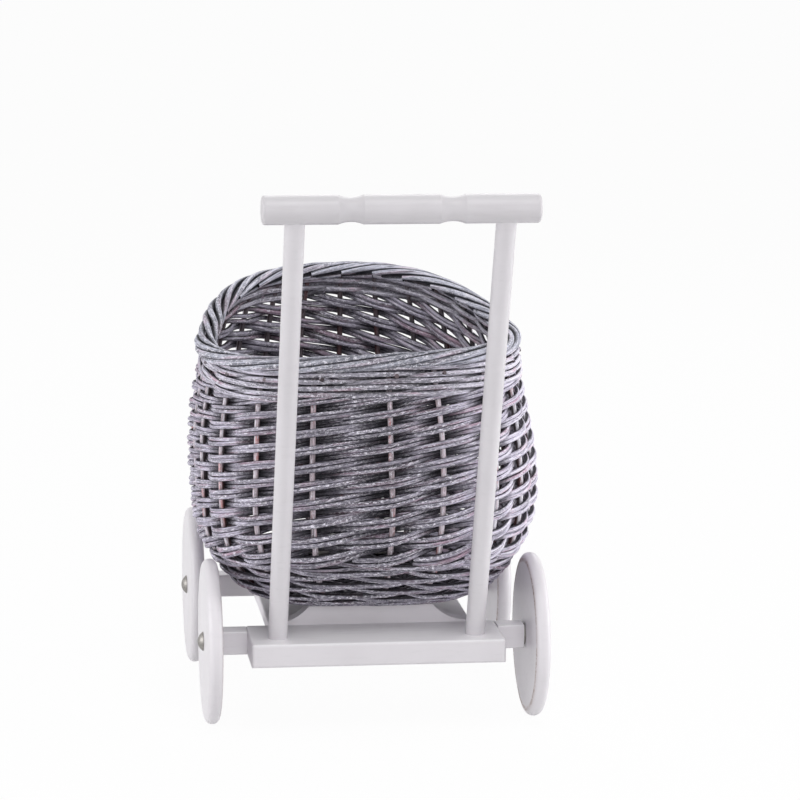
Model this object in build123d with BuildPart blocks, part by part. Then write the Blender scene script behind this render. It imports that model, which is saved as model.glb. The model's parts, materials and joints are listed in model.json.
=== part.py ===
from build123d import *
import math
import os

# A wicker push cart: a bulging woven basket on a wooden chassis with four disc wheels and a push handle.
# Millimetres, +Z up, +Y forward, away from the handle. The origin is on the floor, under the middle
# of the cart's outline.

# Wheels and their axle bolts
WHEEL_RADIUS = 76.5
WHEEL_WIDTH = 13.4
WHEEL_ROUND = 6.4
WHEELBASE = 232.0
WHEEL_PLAY = 0.3
BOLT_RADIUS = 4.0
BOLT_GRIP = 40.0
BOLT_TIP = 3.0
BOLT_HEAD_RADIUS = 9.0
BOLT_HEAD_HEIGHT = 5.0
RUNNING_CLEARANCE = 0.05
WASHER_RADIUS = 10.0
WASHER_THICKNESS = 1.5

# Axle beams, square in section
BEAM_SIDE = 22.0
BEAM_LENGTH = 284.0
BEAM_ROUND = 1.5

# Handle plank, lapped over the rear beam
PLANK_LENGTH = 234.0
PLANK_THICKNESS = 22.0
PLANK_REACH = 52.0
PLANK_ROUND = 2.5
LAP_THICKNESS = 7.0
LAP_END_GAP = 0.2

# Platform board between the beams
PLATFORM_WIDTH = 190.0
PLATFORM_THICKNESS = 12.0
PLATFORM_ROUND = 1.5

# Bolsters that carry the basket
BOLSTER_HEIGHT = 17.5
BOLSTER_DEPTH = 16.0
BOLSTER_TOP = 116.0
BOLSTER_FOOT = 184.0
BOLSTER_TOE = 1.5
REAR_BOLSTER_PROUD = 2.4
FRONT_BOLSTER_COVER = 10.0

# Push handle: two leaning posts and a turned bar
POST_RADIUS = 8.9
POST_SPACING = 183.0
POST_LEAN = 21.0
POST_FOOT_BEHIND_AXLE = 37.0
POST_SEAT = 15.0
POST_PAST_BAR_AXIS = 4.0
BAR_HEIGHT = 502.5
BAR_LENGTH = 241.0
BAR_RADIUS = 12.8
BAR_END_ROUND = 3.0
COVE_OFFSET = 44.0
COVE_WIDTH = 22.0
COVE_DEPTH = 2.2
GLUE_GAP = 0.05

# Basket, which leans a little to the left and whose rim rises to the right and to the front
BASKET_HALF_WIDTH = 159.8
BASKET_REAR_REACH = 185.0
BASKET_FRONT_REACH = 166.0
REAR_SQUARENESS = 3.2
FRONT_SQUARENESS = 2.2
BELLY_ABOVE_FLOOR = 114.0
DOME_HEIGHT = 270.0
DOME_POWER = 2.1
FLOOR_SHARE = 0.56
BASKET_LEAN = -0.014
FORM_RUN_ON = 1.0
BASE_THICKNESS = 10.0
UPSETT_HEIGHT = 51.0
UPSETT_THICKNESS = 14.0
BORDER_WIDTH = 22.0
BORDER_OVERHANG = 5.0
BORDER_HEIGHT = 16.0
BORDER_ROUND = 4.0
RIM_REAR_HEIGHT = 247.0
RIM_FRONT_RISE = 50.0
RIM_RISE_START = 124.0
RIM_RISE_END = 168.0
RIM_TILT = 0.038
SEAM = 0.1

# Basket wall: a thin sheet thrown into ridges and furrows by the courses of weaving
WALL_SHEET = 5.5
WALL_INSET = 4.3
COURSE_SWING = 5.0
COURSES = 18
COURSE_FIRST = 0.03
COURSE_LAST = 0.875
COURSE_EASE = 0.176
COURSE_RUN_ON = 1.06
OUTLINE_STEPS = 32
ROUND_LEVELS = 6
DOME_LEVELS = 7
SETTLE_ROUNDS = 12

# Fasteners
SCREW_RADIUS = 2.0
SCREW_HEAD_RADIUS = 4.0
SCREW_HEAD_HEIGHT = 2.2
SCREW_TIP = 3.0
PLANK_SCREW_LENGTH = 42.0
PLANK_SCREW_SPACING = 60.0
PLANK_SCREW_RISE = 6.0
DOWEL_RADIUS = 3.0
DOWEL_LENGTH = 36.0
DOWEL_SPACING = 70.0
BOLSTER_SCREW_LENGTH = 24.0
BOLSTER_SCREW_SPACING = 90.0
BOLSTER_SCREW_SHIFT = 2.5
BASKET_SCREW_LENGTH = 24.0
BASKET_SCREW_SPACING = 60.0
BASKET_WASHER_RADIUS = 10.0
BASKET_WASHER_THICKNESS = 1.5

# Places worked out from the sizes above
LEAN = math.radians(POST_LEAN)
AXLE_Z = WHEEL_RADIUS
DECK_Z = AXLE_Z + BEAM_SIDE / 2
BASKET_Z = DECK_Z + BOLSTER_HEIGHT
BAR_BEHIND_AXLE = POST_FOOT_BEHIND_AXLE + (BAR_HEIGHT - DECK_Z) * math.tan(LEAN)
REAR_AXLE_Y = (BAR_BEHIND_AXLE + BAR_RADIUS - WHEELBASE - WHEEL_RADIUS) / 2
FRONT_AXLE_Y = REAR_AXLE_Y + WHEELBASE
BAR_Y = REAR_AXLE_Y - BAR_BEHIND_AXLE
FOOT_Y = REAR_AXLE_Y - POST_FOOT_BEHIND_AXLE
MIDDLE_Y = (REAR_AXLE_Y + FRONT_AXLE_Y) / 2
REAR_DECK_Y = REAR_AXLE_Y + BEAM_SIDE / 2
FRONT_DECK_Y = FRONT_AXLE_Y - BEAM_SIDE / 2
POST_LENGTH = (BAR_HEIGHT - DECK_Z) / math.cos(LEAN)
BELLY_Z = BASKET_Z + BELLY_ABOVE_FLOOR
BASE_TOP_Z = BASKET_Z + BASE_THICKNESS
UPSETT_TOP_Z = BASKET_Z + UPSETT_HEIGHT
RIM_REAR_Z = BASKET_Z + RIM_REAR_HEIGHT
RIM_FRONT_Z = RIM_REAR_Z + RIM_FRONT_RISE
FORM_TOP_Z = RIM_FRONT_Z + RIM_TILT * BASKET_HALF_WIDTH + FORM_RUN_ON
RISE_START_Y = MIDDLE_Y - RIM_RISE_START
RISE_END_Y = MIDDLE_Y + RIM_RISE_END
BOLSTER_Y = {
    "rear": MIDDLE_Y - FLOOR_SHARE * BASKET_REAR_REACH - REAR_BOLSTER_PROUD + BOLSTER_DEPTH / 2,
    "front": MIDDLE_Y + FLOOR_SHARE * BASKET_FRONT_REACH - FRONT_BOLSTER_COVER - BOLSTER_DEPTH / 2,
}
AXLES = {"rear": REAR_AXLE_Y, "front": FRONT_AXLE_Y}
SIDES = {"left": -1, "right": 1}

os.makedirs("parts", exist_ok=True)


def save(builder, name):
    """Label a finished piece and write it to its own file."""
    builder.part.label = name
    export_step(builder.part, f"parts/{name}.step")


def hub_plane(side, axle_y, x):
    """Plane at distance x from the middle, facing outwards along the axle."""
    return Plane(origin=(side * x, axle_y, AXLE_Z), x_dir=(0, 1, 0), z_dir=(side, 0, 0))


def post_plane(side):
    """Plane where a handle post meets the deck, with its normal along the post."""
    foot = (side * POST_SPACING / 2, FOOT_Y, DECK_Z)
    return Plane(origin=foot, x_dir=(1, 0, 0), z_dir=(0, -math.sin(LEAN), math.cos(LEAN)))


def screw_places(y, z, spacing, normal, count=2):
    """Planes of a row of screws along X: the origin is the head's outer face, z runs out of it."""
    start = -spacing * (count - 1) / 2
    return [
        Plane(origin=(start + spacing * number, y, z), x_dir=(1, 0, 0), z_dir=normal)
        for number in range(count)
    ]


PLANK_SCREWS = screw_places(REAR_DECK_Y, AXLE_Z - PLANK_SCREW_RISE, PLANK_SCREW_SPACING, (0, 1, 0), 3)
BOLSTER_SCREWS = [
    place
    for y in BOLSTER_Y.values()
    for place in screw_places(
        y + math.copysign(BOLSTER_SCREW_SHIFT, MIDDLE_Y - y),
        DECK_Z - PLATFORM_THICKNESS,
        BOLSTER_SCREW_SPACING,
        (0, 0, -1),
    )
]
BASKET_SCREW_Z = BASE_TOP_Z + BASKET_WASHER_THICKNESS
BASKET_SCREWS = [
    place
    for y in BOLSTER_Y.values()
    for place in screw_places(y, BASKET_SCREW_Z, BASKET_SCREW_SPACING, (0, 0, 1))
]
DOWEL_Z = DECK_Z - PLATFORM_THICKNESS / 2
DOWELS = [
    place
    for y in (REAR_DECK_Y, FRONT_DECK_Y)
    for place in screw_places(y, DOWEL_Z, DOWEL_SPACING, (0, 1, 0), 3)
]


def cut_round(places, radius, depth):
    """Drill a round hole of the given depth inwards from each place."""
    for place in places:
        with BuildSketch(place) as hole:
            Circle(radius)
        extrude(hole.sketch, amount=-depth, mode=Mode.SUBTRACT)


def cut_sunk_screws(places, length):
    """Drill and countersink the holes of a row of sunk screws."""
    cut_round(places, SCREW_RADIUS + GLUE_GAP, length)
    for place in places:
        with BuildSketch(place) as wide:
            Circle(SCREW_HEAD_RADIUS + GLUE_GAP)
        with BuildSketch(place.offset(-SCREW_HEAD_HEIGHT)) as narrow:
            Circle(SCREW_RADIUS + GLUE_GAP)
        loft([wide.sketch, narrow.sketch], mode=Mode.SUBTRACT)


def cut_dowels():
    """Drill the dowel holes, half their length each way from the joint."""
    for place in DOWELS:
        with BuildSketch(place) as hole:
            Circle(DOWEL_RADIUS + GLUE_GAP)
        extrude(hole.sketch, amount=DOWEL_LENGTH / 2, both=True, mode=Mode.SUBTRACT)


# Axle beams: the rear one is let in on top for the plank's lap
for end, axle_y in AXLES.items():
    with BuildPart() as beam:
        with BuildSketch(Plane.YZ.offset(-BEAM_LENGTH / 2)):
            with Locations((axle_y, AXLE_Z)):
                RectangleRounded(BEAM_SIDE, BEAM_SIDE, BEAM_ROUND)
        extrude(amount=BEAM_LENGTH)
        for side in SIDES.values():
            beam_end = hub_plane(side, axle_y, BEAM_LENGTH / 2)
            cut_round([beam_end], BOLT_RADIUS + GLUE_GAP, BOLT_GRIP + BOLT_TIP)
        if end == "rear":
            with BuildSketch(Plane.XY.offset(DECK_Z - LAP_THICKNESS)):
                with Locations((0, axle_y)):
                    Rectangle(PLANK_LENGTH + 2 * LAP_END_GAP, BEAM_SIDE)
            extrude(amount=LAP_THICKNESS, mode=Mode.SUBTRACT)
            cut_sunk_screws(PLANK_SCREWS, PLANK_SCREW_LENGTH)
        cut_dowels()
    save(beam, f"{end}_axle_beam")

# Handle plank: full thickness behind the beam, thinned where it laps over it
with BuildPart() as plank:
    with BuildSketch(Plane.XY.offset(DECK_Z)):
        with Locations((0, REAR_DECK_Y)):
            Rectangle(PLANK_LENGTH, BEAM_SIDE + PLANK_REACH, align=(Align.CENTER, Align.MAX))
    extrude(amount=-PLANK_THICKNESS)
    with BuildSketch(Plane.XY.offset(DECK_Z - LAP_THICKNESS)):
        with Locations((0, REAR_DECK_Y)):
            Rectangle(PLANK_LENGTH, BEAM_SIDE, align=(Align.CENTER, Align.MAX))
    extrude(amount=LAP_THICKNESS - PLANK_THICKNESS, mode=Mode.SUBTRACT)
    back_edges = plank.faces().sort_by(Axis.Y)[0].edges()
    top_ends = plank.faces().sort_by(Axis.Z)[-1].edges().filter_by(Axis.Y)
    fillet(back_edges + top_ends, PLANK_ROUND)
    for side in SIDES.values():
        cut_round([post_plane(side).offset(POST_SEAT)], POST_RADIUS + GLUE_GAP, 2 * POST_SEAT)
    cut_round(PLANK_SCREWS, SCREW_RADIUS + GLUE_GAP, PLANK_SCREW_LENGTH)
    cut_dowels()
save(plank, "handle_plank")

# Platform board, dowelled between the two beams
with BuildPart() as platform:
    with BuildSketch(Plane.XY.offset(DECK_Z - PLATFORM_THICKNESS)):
        with Locations((0, MIDDLE_Y)):
            Rectangle(PLATFORM_WIDTH, FRONT_DECK_Y - REAR_DECK_Y)
    extrude(amount=PLATFORM_THICKNESS)
    fillet(platform.edges().filter_by(Axis.Y), PLATFORM_ROUND)
    cut_sunk_screws(BOLSTER_SCREWS, BOLSTER_SCREW_LENGTH)
    cut_dowels()
save(platform, "platform_board")

# Bolsters: upright boards whose flanks sweep down in a hollow curve to thin toes
for end, bolster_y in BOLSTER_Y.items():
    with BuildPart() as bolster:
        with BuildSketch(Plane.XZ.offset(-bolster_y)):
            with BuildLine():
                toe = (BOLSTER_FOOT / 2, DECK_Z + BOLSTER_TOE)
                crest = (BOLSTER_TOP / 2, DECK_Z + BOLSTER_HEIGHT)
                Line((0, DECK_Z), (BOLSTER_FOOT / 2, DECK_Z))
                Line((BOLSTER_FOOT / 2, DECK_Z), toe)
                TangentArc(toe, crest, tangent=(-1, 0))
                Line(crest, (0, DECK_Z + BOLSTER_HEIGHT))
                mirror(about=Plane.YZ)
            make_face()
        extrude(amount=BOLSTER_DEPTH / 2, both=True)
        cut_round(BOLSTER_SCREWS, SCREW_RADIUS + GLUE_GAP, BOLSTER_SCREW_LENGTH)
        cut_round(BASKET_SCREWS, SCREW_RADIUS + GLUE_GAP, BASKET_SCREW_LENGTH)
    save(bolster, f"{end}_bolster")

# Handle posts: straight dowels let into the plank and the bar
for hand, side in SIDES.items():
    with BuildPart() as post:
        with BuildSketch(post_plane(side).offset(-POST_SEAT)):
            Circle(POST_RADIUS)
        extrude(amount=POST_SEAT + POST_LENGTH + POST_PAST_BAR_AXIS)
    save(post, f"{hand}_handle_post")

# Handle bar: turned, with two shallow coves and eased ends
with BuildPart() as bar:
    bar_axis = Plane(origin=(0, BAR_Y, BAR_HEIGHT))
    with BuildSketch(bar_axis):
        with BuildLine():
            cove_in = COVE_OFFSET - COVE_WIDTH / 2
            cove_out = COVE_OFFSET + COVE_WIDTH / 2
            shoulder = BAR_LENGTH / 2 - BAR_END_ROUND
            Line((0, 0), (0, BAR_RADIUS))
            Line((0, BAR_RADIUS), (cove_in, BAR_RADIUS))
            cove_floor = (COVE_OFFSET, BAR_RADIUS - COVE_DEPTH)
            ThreePointArc((cove_in, BAR_RADIUS), cove_floor, (cove_out, BAR_RADIUS))
            Line((cove_out, BAR_RADIUS), (shoulder, BAR_RADIUS))
            TangentArc((shoulder, BAR_RADIUS), (BAR_LENGTH / 2, BAR_RADIUS - BAR_END_ROUND), tangent=(1, 0))
            Line((BAR_LENGTH / 2, BAR_RADIUS - BAR_END_ROUND), (BAR_LENGTH / 2, 0))
            Line((BAR_LENGTH / 2, 0), (0, 0))
        make_face()
        mirror(about=Plane.YZ)
    revolve(axis=Axis((0, BAR_Y, BAR_HEIGHT), (1, 0, 0)))
    for side in SIDES.values():
        tip = post_plane(side).offset(POST_LENGTH + POST_PAST_BAR_AXIS)
        cut_round([tip], POST_RADIUS + GLUE_GAP, 2 * BAR_RADIUS)
save(bar, "handle_bar")

# Wheels: solid discs with a rounded rim, each free to turn on its own bolt
WHEEL_X = BEAM_LENGTH / 2 + WASHER_THICKNESS + WHEEL_PLAY
HEAD_X = WHEEL_X + WHEEL_WIDTH + WHEEL_PLAY
for end, axle_y in AXLES.items():
    for hand, side in SIDES.items():
        with BuildPart() as wheel:
            with BuildSketch(hub_plane(side, axle_y, WHEEL_X)):
                Circle(WHEEL_RADIUS)
                Circle(BOLT_RADIUS + RUNNING_CLEARANCE, mode=Mode.SUBTRACT)
            extrude(amount=WHEEL_WIDTH)
            rim_edges = wheel.edges().filter_by(GeomType.CIRCLE).group_by(SortBy.RADIUS)[-1]
            fillet(rim_edges, WHEEL_ROUND)
        save(wheel, f"{end}_{hand}_wheel")

        # Axle bolt: a domed head outside the wheel, its shank running through into the beam's end
        with BuildPart() as bolt:
            with BuildSketch(Plane(origin=(0, axle_y, AXLE_Z))):
                with BuildLine():
                    point = (side * (BEAM_LENGTH / 2 - BOLT_GRIP - BOLT_TIP), 0)
                    shank_end = (side * (BEAM_LENGTH / 2 - BOLT_GRIP), BOLT_RADIUS)
                    neck = (side * HEAD_X, BOLT_RADIUS)
                    brim = (side * HEAD_X, BOLT_HEAD_RADIUS)
                    crown = (side * (HEAD_X + BOLT_HEAD_HEIGHT), 0)
                    dome_rise = BOLT_HEAD_HEIGHT
                    dome_radius = (BOLT_HEAD_RADIUS**2 + dome_rise**2) / (2 * dome_rise)
                    dome_turn = math.asin(BOLT_HEAD_RADIUS / dome_radius) / 2
                    dome_x = HEAD_X + BOLT_HEAD_HEIGHT - dome_radius * (1 - math.cos(dome_turn))
                    Polyline(point, shank_end, neck, brim)
                    ThreePointArc(brim, (side * dome_x, dome_radius * math.sin(dome_turn)), crown)
                    Line(crown, point)
                make_face()
            revolve(axis=Axis((0, axle_y, AXLE_Z), (1, 0, 0)))
        save(bolt, f"{end}_{hand}_axle_bolt")

# Wheel washers between the beam ends and the wheels
with BuildPart() as washers:
    for axle_y in AXLES.values():
        for side in SIDES.values():
            with BuildSketch(hub_plane(side, axle_y, BEAM_LENGTH / 2)):
                Circle(WASHER_RADIUS)
                Circle(BOLT_RADIUS + RUNNING_CLEARANCE, mode=Mode.SUBTRACT)
            extrude(amount=WASHER_THICKNESS)
save(washers, "wheel_washers")


def swell(height):
    """Share of the basket's belly outline at a height: drawn in below, domed in above."""
    if height < BELLY_Z:
        drop = (BELLY_Z - height) / (BELLY_ABOVE_FLOOR + FORM_RUN_ON)
        return FLOOR_SHARE + (1 - FLOOR_SHARE) * math.sqrt(max(0.0, 1 - drop**2))
    return (1 - ((height - BELLY_Z) / DOME_HEIGHT) ** DOME_POWER) ** (1 / DOME_POWER)


def basket_point(step, height, inset):
    """One point of the basket's plan at a height, a squarish oval moved in by the inset."""
    share = swell(height)
    turn = 2 * math.pi * step / OUTLINE_STEPS
    across, along = math.cos(turn), math.sin(turn)
    rear = along < 0
    power = 2 / (REAR_SQUARENESS if rear else FRONT_SQUARENESS)
    reach = (BASKET_REAR_REACH if rear else BASKET_FRONT_REACH) * share - inset
    half_width = BASKET_HALF_WIDTH * share - inset
    x = half_width * math.copysign(abs(across) ** power, across)
    y = reach * math.copysign(abs(along) ** power, along)
    return x + BASKET_LEAN * (height - BASKET_Z), MIDDLE_Y + y


BELLY_POINTS = [basket_point(step, BELLY_Z, 0) for step in range(OUTLINE_STEPS + 1)]
OUTLINE_MARKS = [0.0]
for start, stop in zip(BELLY_POINTS, BELLY_POINTS[1:]):
    OUTLINE_MARKS.append(OUTLINE_MARKS[-1] + math.dist(start, stop))


def closed_line(points):
    """A smooth closed line, with the same marks along it as every other cross section."""
    return Wire([Edge.make_spline(points, periodic=True, parameters=OUTLINE_MARKS)])


def level_line(height, inset):
    """The basket's plan at one height as a closed line."""
    return closed_line([(*basket_point(step, height, inset), height) for step in range(OUTLINE_STEPS)])


def basket_form(inset):
    """The basket's full bulging form as one solid, moved in by the inset."""
    levels = []
    depth = BELLY_ABOVE_FLOOR + FORM_RUN_ON
    for step in range(ROUND_LEVELS):
        levels.append(BELLY_Z - depth * math.cos(math.pi / 2 * step / ROUND_LEVELS))
    for step in range(DOME_LEVELS):
        levels.append(BELLY_Z + (FORM_TOP_Z - BELLY_Z) * step / (DOME_LEVELS - 1))
    return Solid.make_loft([level_line(height, inset) for height in levels])


def rim_height(x, y):
    """Height of the rim over a place."""
    way = min(1.0, max(0.0, (y - RISE_START_Y) / (RISE_END_Y - RISE_START_Y)))
    return RIM_REAR_Z + RIM_FRONT_RISE * way**2 * (3 - 2 * way) + RIM_TILT * x


def course_line(share, inset):
    """A closed line round the wall, a share of the way up from the upsett to the border."""
    points = []
    for step in range(OUTLINE_STEPS):
        height = UPSETT_TOP_Z
        for _ in range(SETTLE_ROUNDS):
            x, y = basket_point(step, height, inset)
            height = UPSETT_TOP_Z + share * (rim_height(x, y) - BORDER_HEIGHT - UPSETT_TOP_Z)
        points.append((x, y, height))
    return closed_line(points)


def coursed_form(inset):
    """The wall's form with its ridges and furrows, fanned out between the upsett and the rising border."""
    lines = [level_line(UPSETT_TOP_Z - COURSE_SWING, inset)]
    for course in range(COURSES + 1):
        part_way = course / COURSES
        eased = part_way * (1 + COURSE_EASE - COURSE_EASE * part_way)
        share = COURSE_FIRST + (COURSE_LAST - COURSE_FIRST) * eased
        swing = COURSE_SWING if course % 2 else -COURSE_SWING
        lines.append(course_line(share, inset + swing))
    lines.append(course_line(COURSE_RUN_ON, inset))
    lines.append(level_line(FORM_TOP_Z + COURSE_SWING, inset))
    return Solid.make_loft(lines, ruled=True)


def keep_below_rim(drop):
    """Cut away what stands above the rim line, lowered by the drop."""
    reach = 2 * BASKET_REAR_REACH
    third = (RISE_END_Y - RISE_START_Y) / 3
    low = RIM_REAR_Z - drop - RIM_TILT * reach
    high = low + RIM_FRONT_RISE
    lower_pull = (RISE_START_Y + third, low)
    upper_pull = (RISE_END_Y - third, high)
    near = MIDDLE_Y - reach
    far = MIDDLE_Y + reach
    with BuildSketch(Plane.YZ.offset(-reach)) as below:
        with BuildLine():
            Line((near, low), (RISE_START_Y, low))
            Bezier((RISE_START_Y, low), lower_pull, upper_pull, (RISE_END_Y, high))
            Line((RISE_END_Y, high), (far, high))
            Polyline((far, high), (far, 0), (near, 0), (near, low))
        make_face()
    extrude(below.sketch, amount=2 * reach, dir=(1, 0, RIM_TILT), mode=Mode.INTERSECT)


def keep_between(low, high):
    """Cut away what lies outside two heights."""
    reach = 2 * BASKET_REAR_REACH
    with BuildSketch(Plane.XY.offset(low)) as slab:
        with Locations((0, MIDDLE_Y)):
            Rectangle(2 * reach, 2 * reach)
    extrude(slab.sketch, amount=high - low, mode=Mode.INTERSECT)


# Basket base: the woven floor, which rests on the bolsters
with BuildPart() as base:
    add(basket_form(0))
    keep_between(BASKET_Z, BASE_TOP_Z)
    cut_round(BASKET_SCREWS, SCREW_RADIUS + GLUE_GAP, BASKET_SCREW_LENGTH)
save(base, "basket_base")

# Basket upsett: the thick waled band where the stakes turn up from the base
with BuildPart() as upsett:
    add(basket_form(0))
    keep_between(BASE_TOP_Z, UPSETT_TOP_Z)
    add(basket_form(UPSETT_THICKNESS), mode=Mode.SUBTRACT)
save(upsett, "basket_upsett")

# Basket wall: the open weave between the upsett and the border
with BuildPart() as wall:
    add(coursed_form(WALL_INSET))
    keep_between(UPSETT_TOP_Z, FORM_TOP_Z)
    keep_below_rim(BORDER_HEIGHT)
    add(coursed_form(WALL_INSET + WALL_SHEET), mode=Mode.SUBTRACT)
save(wall, "basket_wall")

# Basket border: the rolled rim, proud of the wall on both faces, rising towards the front
with BuildPart() as above_wall:
    add(basket_form(-BORDER_OVERHANG))
    keep_below_rim(BORDER_HEIGHT - SEAM)
with BuildPart() as border:
    add(basket_form(-BORDER_OVERHANG))
    keep_below_rim(0)
    add(above_wall.part, mode=Mode.SUBTRACT)
    add(basket_form(BORDER_WIDTH - BORDER_OVERHANG), mode=Mode.SUBTRACT)
    top_edges = border.faces().sort_by(Axis.Z, reverse=True)[0].edges()
    fillet(top_edges, BORDER_ROUND)
save(border, "basket_border")


def sunk_screws(places, length, name):
    """A set of sunk wood screws with plain shanks."""
    with BuildPart() as screws:
        for place in places:
            with BuildSketch(place):
                Circle(SCREW_HEAD_RADIUS)
            with BuildSketch(place.offset(-SCREW_HEAD_HEIGHT)):
                Circle(SCREW_RADIUS)
            loft()
            with BuildSketch(place):
                Circle(SCREW_RADIUS)
            extrude(amount=SCREW_TIP - length)
    save(screws, name)


sunk_screws(PLANK_SCREWS, PLANK_SCREW_LENGTH, "plank_screws")
sunk_screws(BOLSTER_SCREWS, BOLSTER_SCREW_LENGTH, "bolster_screws")

# Platform dowels
with BuildPart() as dowels:
    for place in DOWELS:
        with BuildSketch(place):
            Circle(DOWEL_RADIUS)
        extrude(amount=DOWEL_LENGTH / 2 - GLUE_GAP, both=True)
save(dowels, "platform_dowels")

# Basket screws with round heads, and the wide washers under them
with BuildPart() as basket_screws:
    for place in BASKET_SCREWS:
        with BuildSketch(place):
            Circle(SCREW_HEAD_RADIUS)
        extrude(amount=SCREW_HEAD_HEIGHT)
        with BuildSketch(place):
            Circle(SCREW_RADIUS)
        extrude(amount=SCREW_TIP - BASKET_SCREW_LENGTH)
    heads = basket_screws.edges().filter_by(GeomType.CIRCLE).group_by(Axis.Z)[-1]
    fillet(heads, SCREW_HEAD_HEIGHT / 2)
save(basket_screws, "basket_screws")

with BuildPart() as basket_washers:
    for place in BASKET_SCREWS:
        with BuildSketch(place):
            Circle(BASKET_WASHER_RADIUS)
            Circle(SCREW_RADIUS + GLUE_GAP, mode=Mode.SUBTRACT)
        extrude(amount=-BASKET_WASHER_THICKNESS)
save(basket_washers, "basket_washers")
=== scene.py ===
import json
import math
import random

import bpy
import numpy as np
from mathutils import Matrix, Vector


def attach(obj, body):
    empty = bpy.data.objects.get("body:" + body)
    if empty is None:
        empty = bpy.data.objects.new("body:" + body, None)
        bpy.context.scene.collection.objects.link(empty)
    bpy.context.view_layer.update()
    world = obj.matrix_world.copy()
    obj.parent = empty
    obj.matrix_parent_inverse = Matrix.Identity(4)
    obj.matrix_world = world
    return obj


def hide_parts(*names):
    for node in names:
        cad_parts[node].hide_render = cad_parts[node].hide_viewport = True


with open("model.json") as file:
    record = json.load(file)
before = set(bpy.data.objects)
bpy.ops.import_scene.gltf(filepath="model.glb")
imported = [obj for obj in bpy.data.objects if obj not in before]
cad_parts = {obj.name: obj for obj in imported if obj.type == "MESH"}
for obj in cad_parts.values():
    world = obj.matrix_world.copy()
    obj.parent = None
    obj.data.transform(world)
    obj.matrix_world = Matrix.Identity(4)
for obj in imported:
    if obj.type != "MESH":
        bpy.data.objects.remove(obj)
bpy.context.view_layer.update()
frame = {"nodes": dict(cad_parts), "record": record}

# Chassis, in metres
AXLE_Z = 0.0765
REAR_AXLE_Y = -0.04969821
WHEELBASE = 0.232
FRONT_AXLE_Y = REAR_AXLE_Y + WHEELBASE
WHEEL_X = 0.1505
WHEEL_EDGE_RADIUS = 0.0701

# Basket form, as in the solids but for a front rim 2.5 mm lower
MIDDLE_Y = REAR_AXLE_Y + WHEELBASE / 2
BASKET_Z = 0.105
BELLY_Z = 0.219
FORM_DEPTH = 0.115
DOME_HEIGHT = 0.270
DOME_POWER = 2.1
FLOOR_SHARE = 0.56
BASKET_LEAN = -0.014
HALF_WIDTH = 0.1598
REAR_REACH = 0.185
FRONT_REACH = 0.166
REAR_SQUARENESS = 3.2
FRONT_SQUARENESS = 2.2
BASE_TOP_Z = 0.115
UPSETT_TOP_Z = 0.156
RIM_REAR_Z = 0.352
RIM_RISE = 0.0475
RIM_TILT = 0.038
RIM_RISE_START = MIDDLE_Y - 0.124
RIM_RISE_END = MIDDLE_Y + 0.168
RIM_ROUNDS = 8
LAP_SAMPLES = 8001
BORDER_HEIGHT = 0.016
BORDER_WIDTH = 0.022
BORDER_OVERHANG = 0.005

# Hand-made unevenness, in humps: a size, a place on the lap and a reach along it
RIM_DIPS = ((0.0170, 0.310, 0.105), (0.0050, 0.685, 0.05))
BORDER_FANS = ((0.0110, -0.200, 0.05), (0.0050, 0.220, 0.05))

# Sags of the weave: a size, a place and reach on the lap, a height and reach up and down
SAGS = {
    "right": (0.0076, 0.235, 0.07, 0.220, 0.055),
    "left": (0.0046, -0.230, 0.07, 0.270, 0.055),
    "low_left": (0.0048, -0.215, 0.07, 0.168, 0.03),
    "low_right": (0.0035, 0.235, 0.07, 0.168, 0.03),
    "left_corner": (0.0070, -0.200, 0.05, 0.350, 0.03),
    "right_corner": (0.0060, 0.220, 0.05, 0.350, 0.03),
}

# Willow rods
ROD_SIDES = 8
FLOOR_ROD_SIDES = 6
STAKE_RADIUS = 0.0028
WEAVER_RADIUS = 0.00215
WALE_RADIUS = 0.0025
TOP_WALE_RADIUS = 1.05 * WALE_RADIUS
UPSETT_WALE_RADIUS = 1.08 * WALE_RADIUS
BORDER_ROD_RADIUS = 0.0030
BORDER_CORE_RADIUS = 0.0034
FLOOR_ROD_RADIUS = 0.0023
FLOOR_STICK_RADIUS = 0.0021
CUT_END_RADII = (0.0019, 0.0024)
UV_GAP = 3.7

# Wandering of the rods up and down, in and out and in thickness, with the waves along a rod that make it
WALE_DRIFT = 0.0007
WALE_WAVES = (3, 7, 13)
WALE_DEPTH_WAVES = (5, 11)
WALE_THICKNESS_WAVES = (1, 4, 9)
PAIR_DRIFT = 0.0008
PAIR_WAVES = (3, 8, 14)
PAIR_DEPTH_WAVES = (4, 9)
PAIR_THICKNESS_WAVES = (2, 5, 9)
DEPTH_DRIFT = 0.0004
THICKNESS_DRIFT = 0.10
SLOW_WAVES = (1, 2)

# Stakes
NEAR_STAKES = (-0.197, -0.152, -0.1075, -0.0556, 0.0106, 0.0544, 0.1072, 0.150, 0.197)
STAKE_COUNT = 24
STAKE_DEPTH = 2 * WEAVER_RADIUS + STAKE_RADIUS
STAKE_FOOT_Z = BASE_TOP_Z - 0.006
STAKE_STEPS = 40
STAKE_CROWDING = 1.15
STAKE_TAPER = (1.05, 0.92)
STAKE_DRIFT = 0.0012
SPAN_STEPS = 8

# Cut ends of the stakes, with the depth of their root, bend and tip from the weave's outer side
CUT_END_AFTER = 0.004
CUT_END_SLANT = 0.003
CUT_END_DROP = 0.0035
CUT_END_DRIFT = 0.0015
CUT_END_ROOT = 0.008
CUT_END_BEND = 0.003
CUT_END_TIP = 0.0008
CUT_ENDS_PROUD = ((0.0026, 0.0, 0.15),)

# Randed wall: the stakes that a pair of rods passes on its way up, and the share of the wall it climbs
RAND_STAKES = 18
RAND_TAIL = 0.5
RAND_FROM = 0.03
RAND_TO = 0.875
RAND_TO_FRONT = 0.07
RAND_EASE = 0.176

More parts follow.
